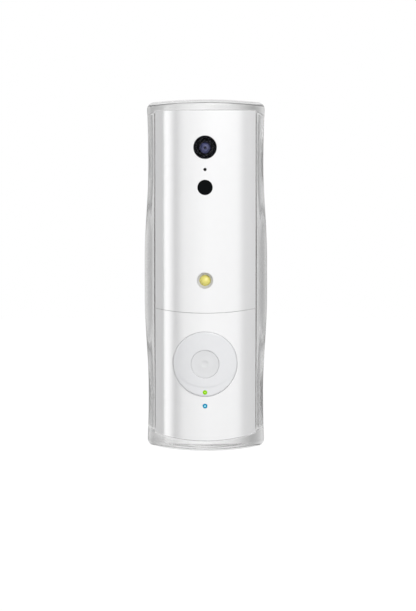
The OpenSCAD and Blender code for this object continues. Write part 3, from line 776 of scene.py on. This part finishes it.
def opening_foot(grow):
    return dipped(BODY_BOTTOM, SHELL_GAP + grow)


def end_height(start, t):
    """Heights from start to the shell's end, closer together as the end rounds over."""
    straight = SHELL_HALF_H - NOSE
    a = (start - straight) / NOSE
    a = math.asin(a) if a > 0 else a
    a = lerp(a, math.pi / 2, t)
    return straight + NOSE * (math.sin(a) if a > 0 else a)


def column_heights(top, foot):
    """Heights of a column's points: the lower end, the window from foot to top, the upper end."""
    made = [-end_height(-foot, 1 - k / END_ROWS) for k in range(END_ROWS)]
    made += spread(foot, top, MID_ROWS)
    made += [end_height(top, k / END_ROWS) for k in range(1, END_ROWS + 1)]
    return made


def skin_columns(skin, xs, grow):
    """Columns across the front or the back, with the window's edges grown by grow."""
    top, foot = opening_top(grow), opening_foot(grow)
    return [[skin(x, z) for z in column_heights(top(x), foot(x))] for x in xs]


def turn_columns():
    """Columns from the edge of the front round to the straight side."""
    heights = column_heights(opening_top(LIP)(FRONT_EDGE), opening_foot(LIP)(FRONT_EDGE))
    made = []
    for left_over in spread(1, 0, TURN_COLUMNS)[1:]:
        column = []
        for z in heights:
            w = shell_half(z)
            column.append(shell_point(*side_point(w, side_turn(w, FRONT_EDGE) * left_over), z))
        made.append(column)
    return made


def flank_columns():
    """Columns along the straight side, from the front's heights to the back's."""
    top, top_back = opening_top(LIP)(FRONT_EDGE), opening_top(REBATE + LIP)(BACK_EDGE)
    foot, foot_back = opening_foot(LIP)(FRONT_EDGE), opening_foot(REBATE + LIP)(BACK_EDGE)
    made = []
    for t in spread(0, 1, FLANK_COLUMNS)[1:]:
        heights = column_heights(lerp(top, top_back, t), lerp(foot, foot_back, t))
        y = lerp(RIM_Y, BACK_MID, t)
        made.append([shell_point(shell_half(z), y, z) for z in heights])
    return made


def heel_columns():
    """Columns round the back edge."""
    grow = REBATE + LIP
    heights = column_heights(opening_top(grow)(BACK_EDGE), opening_foot(grow)(BACK_EDGE))
    made = []
    for a in spread(math.pi / 2, 0, TURN_COLUMNS)[1:]:
        column = []
        for z in heights:
            w = shell_half(z)
            column.append(back_skin(BACK_EDGE + (w - BACK_EDGE) * math.sin(a), z))
        made.append(column)
    return made


def mirrored(columns):
    return [[(-x, y, z) for x, y, z in column] for column in columns]


def end_strips(sheets, front, right, back, left):
    """The flat strip at each end, between the front half and the back half of its outline."""
    half_front = left[-TURN_COLUMNS:] + front + right[:TURN_COLUMNS]
    heel = right[TURN_COLUMNS + FLANK_COLUMNS - 1:-1]
    half_back = mirrored(heel) + back[::-1] + heel[::-1]
    for row in (0, -1):
        strip = []
        for a, b in zip(half_front, half_back):
            strip.append([[lerp(p, q, t) for p, q in zip(a[row], b[row])]
                          for t in spread(0, 1, FLANK_COLUMNS)])
        sheets.grid(strip)


def opening_loop(grow, depth):
    """Points round the window for the body, as far out as grow, at a depth by place."""
    top, foot = opening_top(grow), opening_foot(grow)
    half = OPENING + grow
    xs = spread(-half, half, MID_COLUMNS)
    sides = spread(foot(half), top(half), MID_ROWS)
    made = [(x, foot(x)) for x in xs]
    made += [(half, z) for z in sides[1:]]
    made += [(x, top(x)) for x in reversed(xs[:-1])]
    made += [(-half, z) for z in reversed(sides[1:-1])]
    return [(x, depth(x, z), z) for x, z in made]


def opening_loops():
    """Loops through the window: front lip, wall, rebate, back lip."""
    loops = []
    for a in spread(0, math.pi / 2, 4):
        sink = LIP * (1 - math.cos(a))
        loops.append(opening_loop(LIP * (1 - math.sin(a)),
                                  lambda x, z: front_skin(x, z)[1] + sink))
    for y in WALL_YS:
        loops.append(opening_loop(0, lambda x, z: y))
    loops.append(opening_loop(REBATE, lambda x, z: REBATE_Y))
    for a in spread(0, math.pi / 2, 3):
        sink = LIP * (1 - math.sin(a))
        loops.append(opening_loop(REBATE + LIP * (1 - math.cos(a)),
                                  lambda x, z: back_skin(x, z)[1] - sink))
    return loops


def clear_shell():
    front = skin_columns(front_skin, spread(-FRONT_EDGE, FRONT_EDGE, MID_COLUMNS), LIP)
    back = skin_columns(back_skin, spread(BACK_EDGE, -BACK_EDGE, MID_COLUMNS), REBATE + LIP)
    right = turn_columns() + flank_columns() + heel_columns()
    left = mirrored(reversed(right))
    sheets = Sheets()
    for columns in (front, back):
        sheets.grid([column[:END_ROWS + 1] for column in columns])
        sheets.grid([column[END_ROWS + MID_ROWS:] for column in columns])
    sheets.grid([front[-1]] + right)
    sheets.grid(left + [front[0]])
    end_strips(sheets, front, right, back, left)
    sheets.grid(opening_loops(), wrap=True)
    finish_piece(sheets, "clear_shell", "shell_clear", "doorbell")


clear_shell()


# ---------- bell button ----------

CAP_Y, CAP_BACK_Y = depths("bell_button")
# Rounding of the cap's outer edge and of its bore, and thickness of its rim
CAP_EDGE = 0.6
CAP_BORE_EDGE = 0.25
CAP_RIM = 1.1
CAP_SKIN_Y = CAP_Y + 1.8
CAP_SIDE_Y = -28
# The lower part of the cap falls away a little, outside a circle centred above its middle
CRESCENT_UP = 5.9
CRESCENT_R = 14.4
CRESCENT_SINK = 0.07
CRESCENT_BLEND = 0.5

CENTRE_R = 5.3
CENTRE_GAP = 0.02
CENTRE_Y, CENTRE_BACK_Y = depths("button_center")
# Dimple in the middle of the sunk disc, and the low swell round it
DIMPLE_R = 1.25
DIMPLE = 0.15
SWELL_FROM = 1.6
SWELL_TO = 5.0
SWELL = 0.05
DISC_FLAT_R = 5.18
DISC_EDGE = 0.08
# The disc's flange behind the cap, and its stem
FLANGE_R = box_mm("button_center")[1][0]
FLANGE_Y = -30.8
STEM_Y = -30.1
STEM_R = 2.2

PIPE_DOME = 0.12
PIPE_STAND = 0.04


def crescent(x, z, y):
    if y > CAP_Y + CAP_EDGE:
        return 0.0
    out = math.hypot(x, z - BUTTON_Z - CRESCENT_UP) - CRESCENT_R
    return CRESCENT_SINK * smooth(out / CRESCENT_BLEND)


def bell_button():
    """Hollow round cap that follows the face's bow, open in the middle for the sunk disc."""
    bore = CENTRE_R + CENTRE_GAP
    lip, rim, inner = bore + CAP_BORE_EDGE, BUTTON_R - CAP_EDGE, BUTTON_R - CAP_RIM
    profile = fillet((bore, CAP_Y + CAP_BORE_EDGE), (lip, CAP_Y), (bore, CAP_Y), 4, 1)
    profile += [(r, CAP_Y, 1) for r in spread(lip, rim, 26)[1:-1]]
    profile += fillet((rim, CAP_Y), (BUTTON_R, CAP_Y + CAP_EDGE), (BUTTON_R, CAP_Y), 6, 1)
    profile += [(BUTTON_R, CAP_SIDE_Y, 0.3), (BUTTON_R, CAP_BACK_Y), (inner, CAP_BACK_Y)]
    profile += [(r, CAP_SKIN_Y, 1) for r in [inner] + spread(inner, bore, 10)[1:]]
    turned("bell_button", "button_white", BUTTON_Z, profile, "bell_button", closed=True,
           bevel=0.1, segments=128, relief=crescent)


def button_center():
    """Sunk disc: a shallow dish with a small dimple in its middle."""
    edge = CENTRE_R - CENTRE_GAP
    profile = [(DIMPLE_R * part, CENTRE_Y + DIMPLE * deep)
               for part, deep in ((0, 1), (0.5, 1), (0.8, 0.85), (0.95, 0.4), (1.06, 0.067),
                                  (1.3, 0))]
    wave = math.pi / (SWELL_TO - SWELL_FROM)
    profile += [(r, CENTRE_Y + SWELL * math.sin(wave * (r - SWELL_FROM)) ** 2)
                for r in spread(SWELL_FROM + 0.2, SWELL_TO, 12)]
    profile += fillet((DISC_FLAT_R, CENTRE_Y), (edge, CENTRE_Y + DISC_EDGE), (edge, CENTRE_Y))
    profile += [(edge, FLANGE_Y), (FLANGE_R, FLANGE_Y), (FLANGE_R, STEM_Y), (STEM_R, STEM_Y),
                (STEM_R, CENTRE_BACK_Y), (0, CENTRE_BACK_Y)]
    turned("button_center", "centre_white", BUTTON_Z, profile, "bell_button", bevel=0.08)


def light_pipe(name, z, front_y, body, slot):
    """Light pipe with a low dome at the front."""
    back = depths(name)[1]
    profile = [(0, front_y)]
    profile += [(LIGHT_R * part, front_y + PIPE_DOME * deep, 1)
                for part, deep in ((0.3, 0.033), (0.6, 0.167), (0.85, 0.417), (1, 1))]
    profile += [(LIGHT_R, back), (0, back)]
    turned(name, slot, z, profile, body, bevel=0.04, segments=48)


bell_button()
button_center()
light_pipe("green_light_pipe", GREEN_Z, CAP_Y + CRESCENT_SINK - PIPE_DOME, "bell_button",
           "light_green")
light_pipe("blue_light_pipe", BLUE_Z, FACE_Y - PIPE_STAND, "doorbell", "light_blue")


# ---------- camera, sensor and lamp ----------

# Gap between a round part and the ring that holds it
SEAT_GAP = 0.05
WINDOW_BEVEL = 0.15
APERTURE_R = 3.05
LENS_CURVE = 3.4
LENS_TUNNEL_R = 1.9
SENSOR_BEVEL = 0.12
# The lamp: rise of its dome, the ledge round it, and body and ceramic foot behind it
DOME_RISE = 1.1
DOME_LEDGE = 0.12
LED_BODY = 2.8
CERAMIC_AT = 2.6
CERAMIC_HALF = 1.75


def baffle(inner, outer, y, count, depth):
    """Concentric steps across a flat ring, from its inner edge to its outer edge."""
    made = []
    pitch = (outer - inner) / (2 * count + 1)
    for i in range(count):
        r = inner + pitch * (2 * i + 1)
        made += [(r, y), (r + pitch * 0.1, y + depth), (r + pitch, y + depth),
                 (r + pitch * 1.1, y)]
    return made


def dome(y, ball_r, outer):
    """Points of a dome, part of a ball, whose tip is at depth y, out to a radius."""
    return [(r, y + ball_r - math.sqrt(ball_r ** 2 - r * r)) for r in spread(0, outer, 14)]


def camera_window():
    front, back = depths("camera_window")
    turned("camera_window", "window_glass", CAMERA_Z,
           [(0, front), (WINDOW_R - WINDOW_BEVEL, front), (WINDOW_R, front + WINDOW_BEVEL),
            (WINDOW_R, back), (0, back)], bevel=0.03)


def camera_bezel():
    """Black ring with stepped baffles round the camera's aperture."""
    front, back = depths("camera_bezel")
    turned("camera_bezel", "black_matt", CAMERA_Z,
           [(APERTURE_R, front)] + baffle(APERTURE_R, WINDOW_R, front, 3, 0.12)
           + [(WINDOW_R, front), (WINDOW_R, back), (APERTURE_R, back)],
           closed=True, bevel=0.02)


def lens_barrel():
    front, back = depths("lens_barrel")
    lens_back = depths("front_lens")[1]
    bore = LENS_R + SEAT_GAP
    turned("lens_barrel", "black_matt", CAMERA_Z,
           [(bore, front)] + baffle(bore, BARREL_R, front, 2, 0.1)
           + [(BARREL_R, front), (BARREL_R, back), (LENS_TUNNEL_R, back),
              (LENS_TUNNEL_R, lens_back), (bore, lens_back)], closed=True, bevel=0.02)


def front_lens():
    front, back = depths("front_lens")
    turned("front_lens", "lens_glass", CAMERA_Z,
           dome(front, LENS_CURVE, LENS_R) + [(LENS_R, back), (0, back)])


def sensor_window():
    """Black window that follows the face's bow."""
    front, back = depths("sensor_window")
    turned("sensor_window", "black_gloss", SENSOR_Z,
           [(0, front)] + [(r, front, 1) for r in spread(0.4, SENSOR_R - SENSOR_BEVEL, 6)]
           + [(SENSOR_R, front + SENSOR_BEVEL, 1), (SENSOR_R, back), (0, back)])


def lamp_bezel():
    """Grey ring that slopes in to the lamp's emitter."""
    front, back = depths("lamp_bezel")
    seat_r = EMITTER_R + SEAT_GAP
    turned("lamp_bezel", "lamp_grey", LAMP_Z,
           [(seat_r, front + DOME_RISE), (seat_r + 0.2, front + 1.05),
            (LAMP_R - 0.2, front + 0.12, 0.5), (LAMP_R - 0.08, front, 1),
            (LAMP_R, front, 1), (LAMP_R, back), (seat_r, back)], closed=True, bevel=0.04)


def lamp_led():
    """Phosphor dome on its square ceramic foot."""
    front, back = depths("lamp_led")
    seat = front + DOME_RISE
    base, foot_y = seat + LED_BODY, seat + CERAMIC_AT
    dome_r = EMITTER_R - DOME_LEDGE
    ball = (dome_r ** 2 + DOME_RISE ** 2) / (2 * DOME_RISE)
    sheets = Sheets()
    lathe(sheets, dome(front, ball, dome_r) + [(EMITTER_R, seat), (EMITTER_R, base), (0, base)],
          0, LAMP_Z)
    low, high = LAMP_Z - CERAMIC_HALF, LAMP_Z + CERAMIC_HALF
    ring = [(-CERAMIC_HALF, low), (CERAMIC_HALF, low), (CERAMIC_HALF, high),
            (-CERAMIC_HALF, high)]
    sheets.grid([[(x, y, z) for x, z in ring] for y in (foot_y, back)], wrap=True)
    for y in (foot_y, back):
        sheets.grid([[(-CERAMIC_HALF, y, z), (CERAMIC_HALF, y, z)] for z in (low, high)])
    edges(finish_piece(sheets, "lamp_led", "phosphor", "doorbell"), 0.05, 2, TURNED_ANGLE)


camera_window()
camera_bezel()
lens_barrel()
front_lens()
sensor_window()
lamp_bezel()
lamp_led()


# ---------- return spring ----------

def return_spring():
    """The CAD's own spring, copied into a welded mesh of its own with its slot's finish."""
    node = "button_spring"
    sheets = Sheets()
    sheets.bm.from_mesh(frame["nodes"][node].data)
    obj = sheets.piece(node + "_look")
    obj.data.materials.append(MATERIALS[SLOTS[node]])
    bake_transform(obj)
    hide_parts(node)


return_spring()


# ---------- CAD nodes that keep their own shape ----------

CAD_WELD = 0.0005
CAD_EDGE = 0.2


def finish_cad_nodes():
    """Gives each CAD node that still shows its material and small rounded edges."""
    for node, obj in frame["nodes"].items():
        if obj.hide_render:
            continue
        obj.data.materials.clear()
        obj.data.materials.append(MATERIALS["mic_can" if node == "microphone" else SLOTS[node]])
        weld = obj.modifiers.new("weld", "WELD")
        weld.merge_threshold = CAD_WELD * MM
        smallest = min(hi - lo for lo, hi in zip(*box_mm(node)))
        edges(obj, min(CAD_EDGE, smallest * 0.06), 2, 35)


finish_cad_nodes()


# ---------- stage ----------

FLOOR_Z = -300.0
FLOOR_HALF = 3000.0
FLOOR_GLOW = 0.95


def pale_floor():
    """Plain white floor far below. It glows, so that it is as white as the ground behind."""
    sheets = Sheets()
    steps = spread(-FLOOR_HALF, FLOOR_HALF, 8)
    sheets.grid([[(x, y, FLOOR_Z) for x in steps] for y in steps])
    floor = sheets.piece("floor")
    mat = shader("floor_white", (0.1, 0.1, 0.1), 0.8, specular=0.0, mottle=0.01, grain=40,
                 bump=0.0)
    bsdf = mat.node_tree.nodes["Principled BSDF"]
    bsdf.inputs["Emission Color"].default_value = (1, 1, 1, 1)
    bsdf.inputs["Emission Strength"].default_value = FLOOR_GLOW
    floor.data.materials.append(mat)
    floor.visible_glossy = False
    floor.visible_transmission = False
    floor.visible_diffuse = False


# Brightness of the studio at the object's own height, by direction round the object in
# degrees: 0 is straight ahead, + to the right
STUDIO_BAND = [
    # behind, on the left
    (-180, 0.3), (-168, 0.24), (-155, 0.14), (-145, 0.2), (-130, 0.24), (-114, 0.2),
    (-98, 0.14), (-90, 0.06),
    # strip light on the left, and the dark gap beside it
    (-83, 0.0), (-79, 0.8), (-76, 0.9), (-70, 0.82), (-65, 0.5), (-60, 0.19), (-56, 0.0),
    # broad light ahead
    (-50, 0.09), (-45, 0.27), (-38, 0.4), (-10, 0.46), (0, 0.5), (30, 0.46), (48, 0.45),
    (56, 0.43), (62, 0.36),
    # dark wall on the right
    (70, 0.1), (76, 0.0), (105, 0.02),
    # behind, on the right
    (116, 0.06), (124, 0.12), (136, 0.2), (150, 0.14), (180, 0.3)]
# The same, above and below that height
STUDIO_HIGH = [
    (-180, 0.25), (-116, 0.28), (-102, 0.24), (-70, 0.16), (-30, 0.02), (0, 0.13), (50, 0.1),
    (90, 0.16), (102, 0.24), (116, 0.28), (180, 0.25)]
STUDIO_STRENGTH = 3.08
# How steep a direction is, from 0 for level to 1 for upright, where the band gives way to
# what is above and below it, and where that grows brighter by CROWN_SHARE
BAND_HEIGHT = (0.24, 0.34)
CROWN_HEIGHT = (0.62, 0.85)
CROWN_SHARE = 1.6


def turn_share(tree, x, y):
    """Direction round the upright axis as a share of a full turn. 0.5 is straight ahead."""
    turn = maths(tree, "ARCTAN2", x, maths(tree, "MULTIPLY", y, -1))
    return add(tree, "MapRange", Value=turn, From_Min=-math.pi,
               From_Max=math.pi).outputs["Result"]


def studio_ramp(tree, share, stops):
    return ramp(tree, share, [((degrees + 180) / 360, (value, value, value))
                              for degrees, value in stops])


def studio_light(tree):
    """Studio that lights the object: bright ahead, dark at the sides, brighter overhead."""
    way = add(tree, "SeparateXYZ", Vector=add(tree, "TexCoord").outputs["Generated"])
    share = turn_share(tree, way.outputs["X"], way.outputs["Y"])
    height = maths(tree, "ABSOLUTE", way.outputs["Z"])
    fall = add(tree, "MapRange", Value=height, From_Min=BAND_HEIGHT[0],
               From_Max=BAND_HEIGHT[1])
    crown = add(tree, "MapRange", Value=height, From_Min=CROWN_HEIGHT[0],
                From_Max=CROWN_HEIGHT[1], To_Min=STUDIO_STRENGTH,
                To_Max=STUDIO_STRENGTH * CROWN_SHARE)
    colour = add(tree, "MixRGB", Fac=fall.outputs["Result"],
                 Color1=studio_ramp(tree, share, STUDIO_BAND),
                 Color2=studio_ramp(tree, share, STUDIO_HIGH))
    return add(tree, "Background", Color=colour.outputs["Color"],
               Strength=crown.outputs["Result"])


def studio():
    """World that is plain white where it is seen directly, and the studio for all else."""
    world = bpy.data.worlds.new("studio")
    bpy.context.scene.world = world
    world.use_nodes = True
    tree = world.node_tree
    tree.nodes.clear()
    lit = studio_light(tree)
    seen = add(tree, "Background", Color=(1, 1, 1, 1))
    choose = add(tree, "MixShader")
    direct = add(tree, "LightPath").outputs["Is Camera Ray"]
    for socket, value in zip(choose.inputs, (direct, lit.outputs[0], seen.outputs[0])):
        plug(tree, socket, value)
    add(tree, "OutputWorld", Surface=choose.outputs[0])


KEY_PLACE = Vector((250, -540, 420)) * MM
KEY_AIM = Vector((0, -30, 0)) * MM
KEY_SIZE = 520
KEY_WATTS = 2.6


def key_light():
    """Large soft light from above on the right."""
    light = bpy.data.lights.new("key", "AREA")
    light.shape = "SQUARE"
    light.size = KEY_SIZE * MM
    light.energy = KEY_WATTS
    obj = bpy.data.objects.new("key", light)
    bpy.context.scene.collection.objects.link(obj)
    obj.location = KEY_PLACE
    obj.rotation_euler = (KEY_AIM - KEY_PLACE).to_track_quat("-Z", "Y").to_euler()
    obj.visible_camera = False


pale_floor()
studio()
key_light()


# ---------- camera ----------

# Lens, and the place and turn of the camera: nearly level and straight ahead
LENS_MM = 50.08
SENSOR_MM = 36
CAMERA_PLACE = Vector((6, -355.2, 13.8)) * MM
LOOK_DOWN = 1.2
LOOK_LEFT = 0.865
FRAME_SHIFT = -0.078


def camera():
    data = bpy.data.cameras.new("camera")
    data.lens = LENS_MM
    data.sensor_width = SENSOR_MM
    data.sensor_height = SENSOR_MM
    data.sensor_fit = "AUTO"
    data.shift_y = FRAME_SHIFT
    data.clip_start = 0.01
    obj = bpy.data.objects.new("camera", data)
    bpy.context.scene.collection.objects.link(obj)
    obj.location = CAMERA_PLACE
    obj.rotation_euler = (math.radians(90 - LOOK_DOWN), 0, math.radians(LOOK_LEFT))
    bpy.context.scene.camera = obj


camera()
bpy.context.scene.view_settings.view_transform = "Standard"
